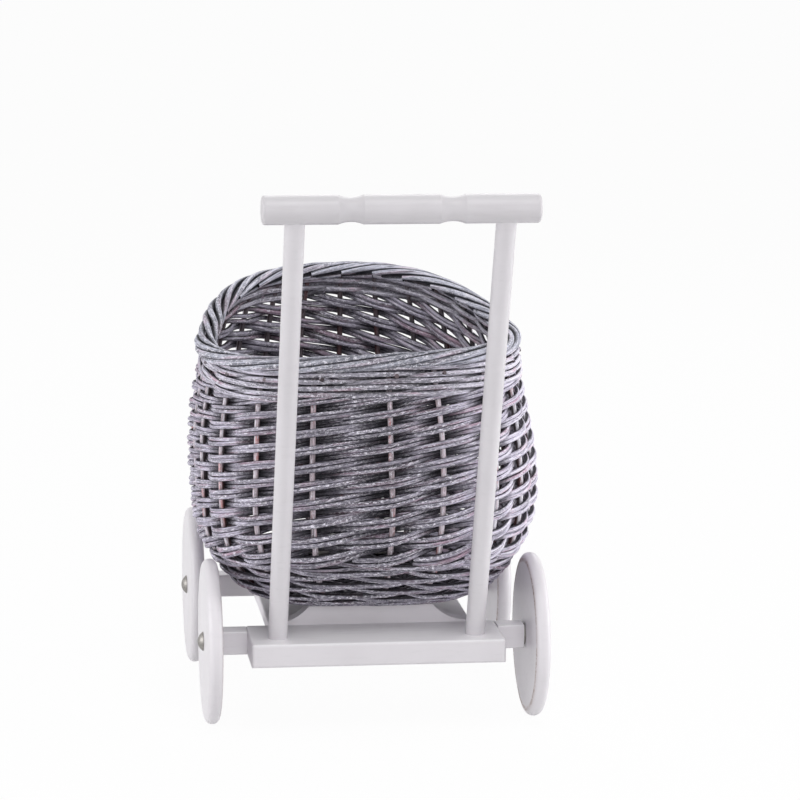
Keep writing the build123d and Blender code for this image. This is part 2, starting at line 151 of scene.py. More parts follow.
# Randed pairs: a rod's radius as a share of its row, at the foot and at the top, and how that varies
PAIR_SHARES = (0.27, 0.25)
PAIR_SPREAD = 0.97
PAIR_VARIETY = (0.92, 1.06)
FRONT_FULLER = 0.05
RIGHT_FULLER = ((0.12, 0.225, 0.05),)
FAR_FLATTER = 0.38
FLATTER_FOOT = 0.3

# Waled rows, and how far they pass behind and in front of the stakes
FAR_FLATTER_WALES = 0.85
FAR_THICKER_WALES = 0.22
WALE_SWING = STAKE_RADIUS + WEAVER_RADIUS
WALE_PASSING = (-0.8, 1.0)
TOP_WALES = 8
TOP_WALES_TO = 1.05
TOP_ROPE = 0.001
UPSETT_WALES = 10
UPSETT_ROPE = 0.0012
FILLER_ROWS = 2
FILLER_PASSING = 0.6
FILLER_DROP = 0.006
FILLER_RISE = 0.007
FILLER_STEP = 0.005
BASE_WALES = 7
BASE_START_Z = BASKET_Z + 0.0002
BASE_PASSING = (-0.6, 0.8)
BASE_SWING = STAKE_RADIUS + 0.8 * WEAVER_RADIUS

# Floor
FLOOR_Z = (BASKET_Z + BASE_TOP_Z) / 2
FLOOR_RINGS = 20
FLOOR_FIRST_RING = 1.2
FLOOR_MARGIN = 0.7
FLOOR_WAVE = 0.0026
STICK_END_Z = BASKET_Z + 0.002
STICK_STEPS = 12

# Border: how each rod rolls over the rim, and its thickness on the way
BORDER_SPAN = 6
BORDER_STEPS = 60
BORDER_ROLL_FROM = math.radians(-125)
BORDER_ROLL = math.radians(325)
BORDER_ROLL_DRIFT = 0.12
BORDER_PROFILE = ((0, 0.15, 0.8, 1), (0.95, 1.08, 1.0, 0.8))
CORE_INSET = BORDER_WIDTH / 2 - BORDER_OVERHANG
CORE_SHIFT = 0.004

# Colours
BRUSHED = (0.86, 0.84, 0.92)
PAINT_TINT = (1.0, 0.965, 1.010)
# Painted light: the whiter white put on upward faces
PAINT_TOP_LIGHT = (0.95, 0.935, 0.955)
PAINT_WORN = (0.27, 0.15, 0.125)

# Where the willow turns paler, partly a thicker wash and partly painted light: out to the sides, to the
# right and to the front
WASH_AND_LIGHT_SIDES = (0.05, 0.15)
WASH_AND_LIGHT_RIGHT = (0.01, 0.14)
WASH_AND_LIGHT_FRONT = (0.08, 0.20)

# Worn ring on a wheel's inner face: its line and its haze, as distances from the face's edge
WEAR_LINE = (0.0007, 0.0032)
WEAR_HAZE = (-0.001, 0.005)
WEAR_HAZE_START = (-0.0015, -0.0005)
WEAR_DEPTH = 0.001

# Studio: lamps with a place, a size in metres and a power in watts
FLOOR_HALF = 40
FLOOR_GREY = (0.9, 0.9, 0.9, 1)
FLOOR_WHITENESS = 0.96
WORLD_LIGHT = 0.32
LAMP_AIM = (0, 0.03, 0.25)
LAMPS = {
    "high_lamp": ((0.1, -1.6, 2.7), 1.4, 30),
    "front_lamp": ((0.0, -2.7, 0.9), 1.4, 13),
    "right_lamp": ((1.9, -0.1, 0.5), 1.2, 19),
    "left_lamp": ((-1.9, -0.1, 0.5), 1.2, 15),
    "back_lamp": ((0.4, 2.2, 1.9), 1.4, 14),
}

# Camera, fitted to the photograph
CAMERA_FROM_REAR_AXLE = (-0.3782, -3.1491, 0.8720)
CAMERA_YAW = 0.127287
CAMERA_PITCH = 0.177971
CAMERA_ROLL = 0.007592
FOCAL_PIXELS = 3500.0
IMAGE_PIXELS = 800
SENSOR_MM = 36.0

UP = np.array([0.0, 0.0, 1.0])
LEVEL = np.array([1, 1, 0])

chance = random.Random(7)


def swell(height):
    """Share of the belly's outline at a height."""
    height = np.asarray(height, float)
    drop = np.clip((BELLY_Z - height) / FORM_DEPTH, 0, 1)
    rise = np.clip((height - BELLY_Z) / DOME_HEIGHT, 0, 1)
    below = FLOOR_SHARE + (1 - FLOOR_SHARE) * np.sqrt(1 - drop**2)
    above = (1 - rise**DOME_POWER) ** (1 / DOME_POWER)
    return np.where(height < BELLY_Z, below, above)


def skin_at(turn, height, inset):
    """Points of the basket's skin, moved in by the inset."""
    share = swell(height)
    across, along = np.cos(turn), np.sin(turn)
    rear = along < 0
    power = np.where(rear, 2 / REAR_SQUARENESS, 2 / FRONT_SQUARENESS)
    reach = np.where(rear, REAR_REACH, FRONT_REACH) * share - inset
    half_width = HALF_WIDTH * share - inset
    x = half_width * np.sign(across) * np.abs(across) ** power + BASKET_LEAN * (height - BASKET_Z)
    y = MIDDLE_Y + reach * np.sign(along) * np.abs(along) ** power
    return np.stack([x, y, height + np.zeros_like(x)], -1)


# A lap runs once round the basket, from the middle of the handle side towards the right
TURNS = np.linspace(-math.pi / 2, 1.5 * math.pi, LAP_SAMPLES)
belly_line = skin_at(TURNS, np.full_like(TURNS, BELLY_Z), 0)
belly_steps = np.linalg.norm(np.diff(belly_line, axis=0), axis=1)
LAPS = np.concatenate([[0], np.cumsum(belly_steps)]) / belly_steps.sum()


def turn_of(lap):
    """Angle of a place on the lap."""
    return np.interp(np.mod(lap, 1.0), LAPS, TURNS)


def skin(lap, height, inset):
    """Points of the skin at places on the lap."""
    return skin_at(turn_of(lap), np.asarray(height, float), inset)


def outward(lap, height):
    """Unit normals of the skin."""
    step, lift = 2e-3, 2e-4
    along = skin(lap + step, height, 0) - skin(lap - step, height, 0)
    up = skin(lap, height + lift, 0) - skin(lap, height - lift, 0)
    normal = np.cross(along, up)
    return normal / np.linalg.norm(normal, axis=-1, keepdims=True)


def near_place(lap, place, reach):
    """A smooth hump round a place on the lap."""
    away = np.mod(np.asarray(lap) - place + 0.5, 1.0) - 0.5
    return np.exp(-((away / reach) ** 2))


def humps(lap, rows):
    """The sum of humps that each have a size, a place and a reach."""
    return sum(size * near_place(lap, place, reach) for size, place, reach in rows)


def slack(lap, height):
    """How far the weave sags outward where the basket bulges."""
    total = 0.0
    for size, place, reach, level, climb in SAGS.values():
        total = total + size * near_place(lap, place, reach) * np.exp(-(((height - level) / climb) ** 2))
    return total


def within(lap, height, depth):
    """Points a depth in from the weave's outer side, and the skin's normals there."""
    normals = outward(lap, height)
    return skin(lap, height, 0) + normals * (slack(lap, height) - depth)[..., None], normals


def rim_at(x, y):
    """Height of an even rim's top: low at the handle, rising to the front and a little to the right."""
    share = np.clip((y - RIM_RISE_START) / (RIM_RISE_END - RIM_RISE_START), 0, 1)
    return RIM_REAR_Z + RIM_RISE * share * share * (3 - 2 * share) + RIM_TILT * x


def rim_height(lap):
    """Height of the rim's top at places on the lap, with its dips."""
    height = np.full(np.shape(lap), RIM_REAR_Z)
    dip = humps(lap, RIM_DIPS)
    for _ in range(RIM_ROUNDS):
        place = skin(lap, height, 0)
        height = rim_at(place[..., 0], place[..., 1]) - dip
    return height


def front_share(lap):
    """Nought along the handle side, one where the rim is highest."""
    return np.clip((rim_height(lap) - RIM_REAR_Z) / RIM_RISE, 0, 1)


def rim_line(lap, height, inset):
    """Points along the border, fanned out at its near corners."""
    return skin(lap, height, inset) + outward(lap, height) * LEVEL * humps(lap, BORDER_FANS)[:, None]


def wall_height(lap, share):
    """Height of a place on the wall: share 0 at the upsett, 1 under the border."""
    top = rim_height(lap) - BORDER_HEIGHT
    return UPSETT_TOP_Z + share * (top - UPSETT_TOP_Z)


def wobble(length, size, waves, closed=True):
    """Slow seeded waves along a rod, for the unevenness of grown wood."""
    place = np.linspace(0, 2 * math.pi, length, endpoint=not closed)
    total = np.zeros(length)
    for wave in waves:
        turns = wave if closed else wave * chance.uniform(0.8, 1.2)
        total += chance.uniform(0.4, 1) * np.sin(turns * place + chance.uniform(0, 2 * math.pi))
    return size * total / len(waves)


class Rods:
    """Gathers rods as tubes into one mesh, with UVs that run along and around each rod."""

    def __init__(self, sides):
        self.sides = sides
        self.verts, self.faces, self.uvs, self.proud = [], [], [], []
        self.count = 0
        self.base = 0

    def add(self, points, normals, radius, closed, proud=1.0):
        """Add one rod through the points; radius and proud are one value or one for each point.

        Proud is 1 where the rod lies in front of the stakes and -1 where it lies behind them.
        """
        points = np.asarray(points, float)
        number = len(points)
        radius = np.broadcast_to(np.asarray(radius, float), (number,))
        if closed:
            tangent = np.roll(points, -1, 0) - np.roll(points, 1, 0)
        else:
            tangent = np.gradient(points, axis=0)
        tangent /= np.linalg.norm(tangent, axis=1, keepdims=True)
        normal = normals - (normals * tangent).sum(1, keepdims=True) * tangent
        normal /= np.linalg.norm(normal, axis=1, keepdims=True)
        side = np.cross(tangent, normal)
        angle = 2 * math.pi * np.arange(self.sides) / self.sides
        ring = normal[:, None] * np.cos(angle)[None, :, None] + side[:, None] * np.sin(angle)[None, :, None]
        verts = points[:, None] + ring * radius[:, None, None]
        self.verts.append(verts.reshape(-1, 3))
        self.proud.append(np.repeat(np.broadcast_to(np.asarray(proud, float), (number,)), self.sides))
        steps = np.linalg.norm(np.roll(points, -1, 0) - points, axis=1)
        run = np.concatenate([[0], np.cumsum(steps)]) + UV_GAP * self.count
        spans = number if closed else number - 1
        for here in range(spans):
            ahead = (here + 1) % number
            begin, end = run[here], run[here + 1]
            for edge in range(self.sides):
                beside = (edge + 1) % self.sides
                corners = ((here, edge), (ahead, edge), (ahead, beside), (here, beside))
                self.faces.append([self.base + point * self.sides + place for point, place in corners])
                low, high = edge / self.sides, (edge + 1) / self.sides
                self.uvs += [(begin, low), (end, low), (end, high), (begin, high)]
        if not closed:
            for here, order in ((0, -1), (number - 1, 1)):
                cap = [self.base + here * self.sides + edge for edge in range(self.sides)][::order]
                self.faces.append(cap)
                self.uvs += [(run[here], 0.5)] * self.sides
        self.base += number * self.sides
        self.count += 1

    def build(self, name, material, node=None):
        """Make the object, put it on the cart and let it stand for a solid where one is named."""
        mesh = bpy.data.meshes.new(name)
        mesh.from_pydata(np.concatenate(self.verts).tolist(), [], self.faces)
        layer = mesh.uv_layers.new(name="rod")
        layer.data.foreach_set("uv", np.asarray(self.uvs, np.float32).ravel())
        depth = mesh.attributes.new("proud", "FLOAT", "POINT")
        depth.data.foreach_set("value", np.concatenate(self.proud).astype(np.float32))
        mesh.polygons.foreach_set("use_smooth", [len(face) == 4 for face in self.faces])
        mesh.materials.append(material)
        mesh.update()
        piece = bpy.data.objects.new(name, mesh)
        bpy.context.scene.collection.objects.link(piece)
        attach(piece, "cart")
        if node:
            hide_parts(node)
        return piece


def node_tree(name):
    """A new material with its node tree and its shader."""
    material = bpy.data.materials.new(name)
    material.use_nodes = True
    tree = material.node_tree
    shader = tree.nodes["Principled BSDF"]
    return material, tree, shader


def noise(tree, vector, scale, detail=3.0, rough=0.55):
    """A noise texture read at the given coordinates."""
    node = tree.nodes.new("ShaderNodeTexNoise")
    node.inputs["Scale"].default_value = scale
    node.inputs["Detail"].default_value = detail
    node.inputs["Roughness"].default_value = rough
    tree.links.new(vector, node.inputs["Vector"])
    return node.outputs["Fac"]


def stretched(tree, vector, scale):
    """The coordinates scaled by a factor for each axis."""
    node = tree.nodes.new("ShaderNodeMapping")
    node.inputs["Scale"].default_value = scale
    tree.links.new(vector, node.inputs["Vector"])
    return node.outputs["Vector"]


def split(tree, vector):
    """The outputs of a vector's X, Y and Z."""
    node = tree.nodes.new("ShaderNodeSeparateXYZ")
    tree.links.new(vector, node.inputs["Vector"])
    return node.outputs


def ramp(tree, factor, stops):
    """A colour ramp of (place, colour) stops."""
    node = tree.nodes.new("ShaderNodeValToRGB")
    elements = node.color_ramp.elements
    while len(elements) < len(stops):
        elements.new(0.5)
    for element, (place, colour) in zip(elements, stops):
        element.position = place
        element.color = (*colour, 1)
    tree.links.new(factor, node.inputs["Fac"])
    return node.outputs["Color"]


def mixed(tree, factor, low, high):
    """Two colours mixed by a factor; each may be a socket or a plain colour."""
    node = tree.nodes.new("ShaderNodeMix")
    node.data_type = "RGBA"
    tree.links.new(factor, node.inputs["Factor"])
    for socket, value in ((node.inputs["A"], low), (node.inputs["B"], high)):
        if isinstance(value, tuple):
            socket.default_value = (*value, 1)
        else:
            tree.links.new(value, socket)
    return node.outputs["Result"]


def spread(tree, value, low, high, to_low=0.0, to_high=1.0):
    """A value spread from one range to another, clamped."""
    node = tree.nodes.new("ShaderNodeMapRange")
    for name, number in (("From Min", low), ("From Max", high), ("To Min", to_low), ("To Max", to_high)):
        node.inputs[name].default_value = number
    tree.links.new(value, node.inputs["Value"])
    return node.outputs["Result"]


def maths(tree, operation, value, other=None):
    """A sum on a value, with a second value or number where the operation takes one."""
    node = tree.nodes.new("ShaderNodeMath")
    node.operation = operation
    tree.links.new(value, node.inputs[0])
    if isinstance(other, (int, float)):
        node.inputs[1].default_value = other
    elif other is not None:
        tree.links.new(other, node.inputs[1])
    return node.outputs["Value"]


def raised(tree, shader, height, strength, distance):
    """Bump on the shader from a height."""
    node = tree.nodes.new("ShaderNodeBump")
    node.inputs["Strength"].default_value = strength
    node.inputs["Distance"].default_value = distance
    tree.links.new(height, node.inputs["Height"])
    tree.links.new(node.outputs["Normal"], shader.inputs["Normal"])


def vector_maths(tree, operation, vector, plain=None):
    """A node for a sum on a vector or colour, with a plain second one where the operation takes it."""
    node = tree.nodes.new("ShaderNodeVectorMath")
    node.operation = operation
    tree.links.new(vector, node.inputs[0])
    if plain:
        node.inputs[1].default_value = plain
    return node


def scaled(tree, colour, factor):
    """A colour made lighter or darker by a factor."""
    node = vector_maths(tree, "SCALE", colour)
    tree.links.new(factor, node.inputs["Scale"])
    return node.outputs["Vector"]


def tinted(tree, colour, tint):
    """A colour multiplied by a plain tint."""
    return vector_maths(tree, "MULTIPLY", colour, tint).outputs["Vector"]


def no_paler(tree, colour, palest):
    """A colour held down to the palest one allowed."""
    return vector_maths(tree, "MINIMUM", colour, palest).outputs["Vector"]


def times(colour, factor):
    """A plain colour multiplied by a number."""
    return tuple(factor * part for part in colour)


def willow_material(name, dark, grey, bark, lining, narrow, sides_wash_and_light=1.55, right_wash_and_light=1.0):
    """Dark-stained willow dry-brushed in pale grey, mostly on the outer side of the rods that stand proud.

    The dark stain also stands for painted shade: it stays on the sides of rods where they meet and on
    rods recessed behind the stakes. Lining is the share of the brushing on the basket's inner side, and
    narrow how closely the pale keeps to the top of a rod, which sets the width of the painted shade
    between rods. The willow is paler at both sides of the basket, and paler again at its right and towards
    the front: partly a thicker wash, partly painted light.
    """
    material, tree, shader = node_tree(name)
    coords = tree.nodes.new("ShaderNodeTexCoord")
    along_rod = coords.outputs["UV"]
    place = split(tree, coords.outputs["Object"])
    depth = tree.nodes.new("ShaderNodeAttribute")
    depth.attribute_name = "proud"
    proud = depth.outputs["Fac"]
    streaks = noise(tree, stretched(tree, along_rod, (60, 6, 1)), 1.0, 6.0, 0.7)
    ridges = noise(tree, stretched(tree, along_rod, (22, 13, 1)), 1.0, 4.0, 0.6)
    patches = noise(tree, stretched(tree, along_rod, (15, 1.2, 1)), 1.0, 3.0)
    strokes = noise(tree, stretched(tree, along_rod, (9, 0.8, 1)), 1.0, 2.0)
    flakes = noise(tree, stretched(tree, along_rod, (260, 9, 1)), 1.0, 5.0, 0.75)

    # Pale brushing with painted light and shade: the outer side of proud rods and the inner side of the
    # others stay pale, partly a dry-brush finish and partly painted highlight; the sides of rods where they
    # meet and rods recessed behind the stakes keep the dark stain as painted shade
    around = maths(tree, "MULTIPLY", split(tree, along_rod)["Y"], 2 * math.pi)
    facing_out = maths(tree, "COSINE", around)
    outside = spread(tree, facing_out, narrow, narrow + 0.45, 0.05, 1.0)
    inside = spread(tree, facing_out, -0.85, -0.1, lining, 0.0)
    outside = maths(tree, "MULTIPLY", spread(tree, proud, -0.95, 0.1, 0.09, 1.0), outside)
    inside = maths(tree, "MULTIPLY", spread(tree, proud, -0.4, 0.9, 1.0, 0.25), inside)
    brush_and_shade = maths(tree, "MAXIMUM", outside, inside)

    # Paler willow round the basket, partly a thicker wash and partly painted light: at the sides, to the
    # right and to the front
    sideways = spread(tree, maths(tree, "ABSOLUTE", place["X"]), *WASH_AND_LIGHT_SIDES, 0.75, sides_wash_and_light)
    rightward = spread(tree, place["X"], *WASH_AND_LIGHT_RIGHT, 0.0, right_wash_and_light)
    forward = spread(tree, place["Y"], *WASH_AND_LIGHT_FRONT, 0.0, 0.7)
    uneven = maths(tree, "ADD", sideways, maths(tree, "ADD", rightward, forward))

    # Stain with painted shade, wash with painted light, patches of bark and pale flakes of paint that are
    # partly painted highlight, one over the other
    tone = maths(tree, "MULTIPLY", maths(tree, "ADD", streaks, ridges), 0.5)
    stain_and_shade = ramp(tree, tone, ((0.40, times(dark, 0.5)), (0.60, times(dark, 1.7))))
    wash = ramp(tree, tone, ((0.41, times(grey, 0.42)), (0.50, grey), (0.59, times(grey, 1.95))))
    washed = mixed(tree, brush_and_shade, stain_and_shade, no_paler(tree, scaled(tree, wash, uneven), BRUSHED))
    barked = mixed(tree, spread(tree, patches, 0.53, 0.64, 0.0, 0.8), washed, tinted(tree, washed, bark))
    stroked = spread(tree, strokes, 0.38, 0.56, 0.25, 1.0)
    ragged = maths(tree, "MULTIPLY", spread(tree, flakes, 0.51, 0.57), stroked)
    brushed = maths(tree, "MULTIPLY", ragged, brush_and_shade)
    tree.links.new(mixed(tree, brushed, barked, BRUSHED), shader.inputs["Base Color"])
    tree.links.new(spread(tree, streaks, 0.3, 0.7, 0.75, 0.52), shader.inputs["Roughness"])
    shader.inputs["Specular IOR Level"].default_value = 0.2
    raised(tree, shader, flakes, 0.6, 0.0008)
    return material


def painted_material(name, level, top_light=0.0, wear=None):
    """White satin paint on wood, with faint brush marks and a little greying.

    Level is the coat's brightness, set piece by piece as painted light and shade; upward faces are made
    whiter as painted light from above; wear adds a worn ring.
    """
    material, tree, shader = node_tree(name)
    coords = tree.nodes.new("ShaderNodeTexCoord")
    place = coords.outputs["Object"]
    clouds = noise(tree, place, 14.0, 4.0)
    grain = noise(tree, stretched(tree, place, (40, 260, 260)), 1.0, 4.0, 0.6)
    coat = times(PAINT_TINT, level)
    body = ramp(tree, clouds, ((0.3, times(coat, 0.96)), (0.7, times(coat, 1.04))))
    surface = tree.nodes.new("ShaderNodeNewGeometry")
    upward = split(tree, surface.outputs["Normal"])["Z"]
    # Painted light: upward faces whiter, as if lit from above
    body = mixed(tree, spread(tree, upward, 0.5, 0.95, 0.0, top_light), body, PAINT_TOP_LIGHT)
    tint = mixed(tree, spread(tree, grain, 0.55, 0.75, 0.0, 0.25), body, times(coat, 0.84))
    if wear:
        tint = mixed(tree, wear(tree, place), tint, PAINT_WORN)
    tree.links.new(tint, shader.inputs["Base Color"])
    tree.links.new(spread(tree, grain, 0.3, 0.7, 0.34, 0.46), shader.inputs["Roughness"])
    raised(tree, shader, grain, 0.12, 0.0004)
    return material


def steel_material(name):
    """Dull zinc-plated steel with fine turning marks."""
    material, tree, shader = node_tree(name)
    coords = tree.nodes.new("ShaderNodeTexCoord")
    marks = noise(tree, coords.outputs["Object"], 900.0, 3.0)
    tint = ramp(tree, marks, ((0.3, (0.22, 0.21, 0.20)), (0.7, (0.36, 0.345, 0.33))))
    tree.links.new(tint, shader.inputs["Base Color"])
    tree.links.new(spread(tree, marks, 0.3, 0.7, 0.36, 0.52), shader.inputs["Roughness"])
    shader.inputs["Metallic"].default_value = 1.0
    return material


def beech_material(name):
    """Bare beech with short grain flecks."""
    material, tree, shader = node_tree(name)
    coords = tree.nodes.new("ShaderNodeTexCoord")
    grain = noise(tree, stretched(tree, coords.outputs["Object"], (400, 30, 400)), 1.0, 4.0)
    tint = ramp(tree, grain, ((0.3, (0.42, 0.26, 0.14)), (0.7, (0.60, 0.42, 0.25))))
    tree.links.new(tint, shader.inputs["Base Color"])
    tree.links.new(spread(tree, grain, 0.3, 0.7, 0.55, 0.7), shader.inputs["Roughness"])
    return material


def rim_wear(axle_y):
    """A function that masks a thin broken ring where a wheel's inner face meets its rounded rim."""

    def mask(tree, place):
        centred = vector_maths(tree, "SUBTRACT", place, (0, axle_y, AXLE_Z)).outputs["Vector"]
        from_axle = vector_maths(tree, "LENGTH", stretched(tree, centred, (0, 1, 1))).outputs["Value"]
        away = maths(tree, "SUBTRACT", from_axle, WHEEL_EDGE_RADIUS)
        ring = spread(tree, maths(tree, "ABSOLUTE", away), *WEAR_LINE, 1.0, 0.0)
        dots = spread(tree, noise(tree, place, 420.0, 3.0, 0.7), 0.38, 0.56, 0.15, 1.0)
        gaps = spread(tree, noise(tree, place, 30.0, 4.0, 0.7), 0.34, 0.54, 0.25, 1.0)
        broken = maths(tree, "MULTIPLY", gaps, dots)
        haze = spread(tree, away, *WEAR_HAZE, 0.34, 0.0)
        outer = spread(tree, away, *WEAR_HAZE_START, 0.0, 1.0)
        sideways = maths(tree, "ABSOLUTE", split(tree, place)["X"])
        inner = spread(tree, sideways, WHEEL_X, WHEEL_X + WEAR_DEPTH, 1.0, 0.0)
        worn_ring = maths(tree, "MULTIPLY", ring, broken)
        worn_haze = maths(tree, "MULTIPLY", haze, outer)
        return maths(tree, "MULTIPLY", maths(tree, "MAXIMUM", worn_ring, worn_haze), inner)

    return mask


# Materials
willow = willow_material(
    "grey_willow",
    dark=(0.012, 0.011, 0.015), grey=(0.25, 0.233, 0.287), bark=(1.0, 0.70, 0.74),
    lining=0.9, narrow=0.22,
)
rim_willow = willow_material(
    "rim_willow",
    dark=(0.010, 0.010, 0.014), grey=(0.36, 0.364, 0.43), bark=(1.0, 0.8, 0.82),
    lining=0.05, narrow=0.28, sides_wash_and_light=1.0, right_wash_and_light=0.2,
)
top_willow = willow_material(
    "top_willow",
    dark=(0.012, 0.011, 0.015), grey=(0.31, 0.296, 0.35), bark=(1.0, 0.72, 0.75),
    lining=1.0, narrow=0.25,
)
stake_willow = willow_material(
    "stake_willow",
    dark=(0.05, 0.034, 0.038), grey=(0.54, 0.45, 0.50), bark=(0.9, 0.34, 0.30),
    lining=0.5, narrow=0.0,
)
steel = steel_material("zinc_steel")
beech = beech_material("bare_beech")
# One white paint in lit and shaded copies: each piece's level is painted light and shade, much paler on the
# deck and bolsters that sit in the basket's shadow, darker on the bar
post_paint = painted_material("post_paint", 0.70)
bar_paint = painted_material("bar_paint", 0.61, top_light=0.3)
beam_paint = painted_material("beam_paint", 0.73, top_light=0.9)
lit_deck_paint = painted_material("lit_deck_paint", 0.93, top_light=0.9)
rear_wheel_paint = painted_material("rear_wheel_paint", 0.77, wear=rim_wear(REAR_AXLE_Y))
front_wheel_paint = painted_material("front_wheel_paint", 0.77, wear=rim_wear(FRONT_AXLE_Y))
piece_material = {
    "handle_bar": bar_paint,
    "left_handle_post": post_paint,
    "right_handle_post": post_paint,
    "platform_board": lit_deck_paint,
    "rear_bolster": lit_deck_paint,
    "front_bolster": lit_deck_paint,
    "rear_left_wheel": rear_wheel_paint,
    "rear_right_wheel": rear_wheel_paint,
    "front_left_wheel": front_wheel_paint,
    "front_right_wheel": front_wheel_paint,
}
slot_material = {"white_wood": beam_paint, "bare_wood": beech, "steel": steel, "willow": willow}
for entry in frame["record"]["subparts"]:
    node = frame["nodes"][entry["node"]]
    node.data.materials.clear()
    node.data.materials.append(piece_material.get(entry["node"], slot_material[entry["material_slot"]]))

# Stakes: the near ones where the photograph shows them, the rest spaced evenly
far_count = STAKE_COUNT - len(NEAR_STAKES)
far_gap = (1 + NEAR_STAKES[0] - NEAR_STAKES[-1]) / (far_count + 1)
far_stakes = [NEAR_STAKES[-1] + far_gap * (step + 1) for step in range(far_count)]
STAKES = np.array(list(NEAR_STAKES) + far_stakes)
stake_order = np.arange(STAKE_COUNT)


def round_the_stakes():
    """Places on the lap in even steps from stake to stake, with each place's stake number and share."""
    edges = np.append(STAKES, STAKES[0] + 1)
    stake = np.repeat(stake_order, SPAN_STEPS)
    share = np.tile(np.arange(SPAN_STEPS) / SPAN_STEPS, STAKE_COUNT)
    return edges[stake] + share * (edges[stake + 1] - edges[stake]), stake, share


lap_line, stake_number, span_share = round_the_stakes()


def weave_offset(in_front):
    """How far out a rod lies on its way round, from 1 in front of the stakes to -1 behind them."""
    start = in_front[stake_number]
    end = in_front[(stake_number + 1) % STAKE_COUNT]
    ease = (1 - np.cos(math.pi * span_share)) / 2
    return start + (end - start) * ease


def every_other(row, one, next_one):
    """Passing of a rod that takes one stake one way and the next the other way."""
    return np.where((stake_order - row) % 2 == 0, one, next_one)


def every_third(row, behind, in_front):
    """Passing of a wale, which goes behind every third stake and in front of the rest."""
    return np.where((stake_order - row) % 3 == 0, behind, in_front)


def wale_turn(row):
    """Angle along a wale that comes round once in three stakes."""
    return 2 * math.pi * ((stake_number + span_share - row) % 3) / 3


def weave_rod(rods, height, in_front, radius, depth):
    """Add one rod woven round the basket at the heights given."""
    number = len(lap_line)
    height = height + wobble(number, WALE_DRIFT, WALE_WAVES)
    passing = weave_offset(in_front)
    flatter = 1 - FAR_FLATTER_WALES * front_share(lap_line)
    offset = passing * depth * flatter + wobble(number, DEPTH_DRIFT, WALE_DEPTH_WAVES)
    points, normals = within(lap_line, height, STAKE_DEPTH - offset)
    uneven = 1 + wobble(number, THICKNESS_DRIFT, WALE_THICKNESS_WAVES)
    thick = radius * uneven * (1 + FAR_THICKER_WALES * front_share(lap_line))
    rods.add(points, normals, thick, True, passing)


def even_heights(low, high, rows):
    """Heights of rows spaced evenly up the handle side's profile."""
    samples = 400
    levels = np.linspace(low, high, samples)
    profile = skin(np.zeros(samples), levels, 0)
    climb = np.concatenate([[0], np.cumsum(np.linalg.norm(np.diff(profile, axis=0), axis=1))])
    return np.interp(climb[-1] * (np.arange(rows) + 0.5) / rows, climb, levels)


def rand_top(lap):
    """Share of the wall where the randing stops, a little higher towards the front."""
    return RAND_TO + RAND_TO_FRONT * front_share(lap)


def rand_height(lap, climb):
    """Height of a randed pair that has climbed a share of its way."""
    eased = climb * (1 + RAND_EASE) - RAND_EASE * climb**2
    return wall_height(lap, RAND_FROM + (rand_top(lap) - RAND_FROM) * eased)


# Randed wall: from each stake a pair of rods climbs all the way, in front of one stake, behind the next
wall = Rods(ROD_SIDES)
three_laps = np.concatenate([STAKES - 1, STAKES, STAKES + 1])
three_orders = np.arange(-STAKE_COUNT, 2 * STAKE_COUNT)
pair_points = round((RAND_STAKES + 2 * RAND_TAIL) * SPAN_STEPS) + 1
passed = np.linspace(-RAND_TAIL, RAND_STAKES + RAND_TAIL, pair_points)
passing = np.cos(math.pi * passed)
climb = passed / RAND_STAKES
half_row = 0.5 / RAND_STAKES
for start in range(STAKE_COUNT):
    lap = np.interp(start + passed, three_orders, three_laps)
    level = rand_height(lap, climb)
    row_top = skin(lap, rand_height(lap, climb + half_row), 0)
    row_foot = skin(lap, rand_height(lap, climb - half_row), 0)
    spacing = np.linalg.norm(row_top - row_foot, axis=1)
    fuller = 1 + FRONT_FULLER * front_share(lap) + humps(lap, RIGHT_FULLER)
    thick = spacing * np.interp(climb, (0, 1), PAIR_SHARES) * fuller
    foot_share = np.clip(1 - climb / FLATTER_FOOT, 0, 1)
    flatter = FAR_FLATTER + (FAR_FLATTER_WALES - FAR_FLATTER) * foot_share
    swing = (STAKE_RADIUS + thick) * (1 - flatter * front_share(lap))
    for side in (-1, 1):
        variety = chance.uniform(*PAIR_VARIETY)
        radius = thick * variety * (1 + wobble(pair_points, THICKNESS_DRIFT, PAIR_THICKNESS_WAVES, False))
        height = level + side * thick * PAIR_SPREAD + wobble(pair_points, PAIR_DRIFT, PAIR_WAVES, False)
        offset = passing * swing + wobble(pair_points, DEPTH_DRIFT, PAIR_DEPTH_WAVES, False)
        points, normals = within(lap, height, STAKE_DEPTH - offset)
        wall.add(points, normals, radius, False, passing)
wall.build("basket_weave", willow, "basket_wall")

# Waled rows under the border, closed up over the stakes
top_rows = Rods(ROD_SIDES)
low = rand_top(lap_line)
for row in range(TOP_WALES):
    level = wall_height(lap_line, low + (TOP_WALES_TO - low) * (row + 0.5) / TOP_WALES)
    rope = TOP_ROPE * np.sin(wale_turn(row))
    weave_rod(top_rows, level + rope, every_third(row, *WALE_PASSING), TOP_WALE_RADIUS, WALE_SWING)
top_rows.build("basket_top_rows", top_willow)

# Stakes, from the base up into the border
stakes = Rods(ROD_SIDES)
for place in STAKES:
    top = float(rim_height(np.array([place]))[0]) - BORDER_HEIGHT / 2
    height = STAKE_FOOT_Z + (top - STAKE_FOOT_Z) * np.linspace(0, 1, STAKE_STEPS) ** STAKE_CROWDING
    lap = place + wobble(STAKE_STEPS, STAKE_DRIFT, SLOW_WAVES, False)
    points, normals = within(lap, height, np.full(STAKE_STEPS, STAKE_DEPTH))
    stakes.add(points, normals, STAKE_RADIUS * np.linspace(*STAKE_TAPER, STAKE_STEPS), False)

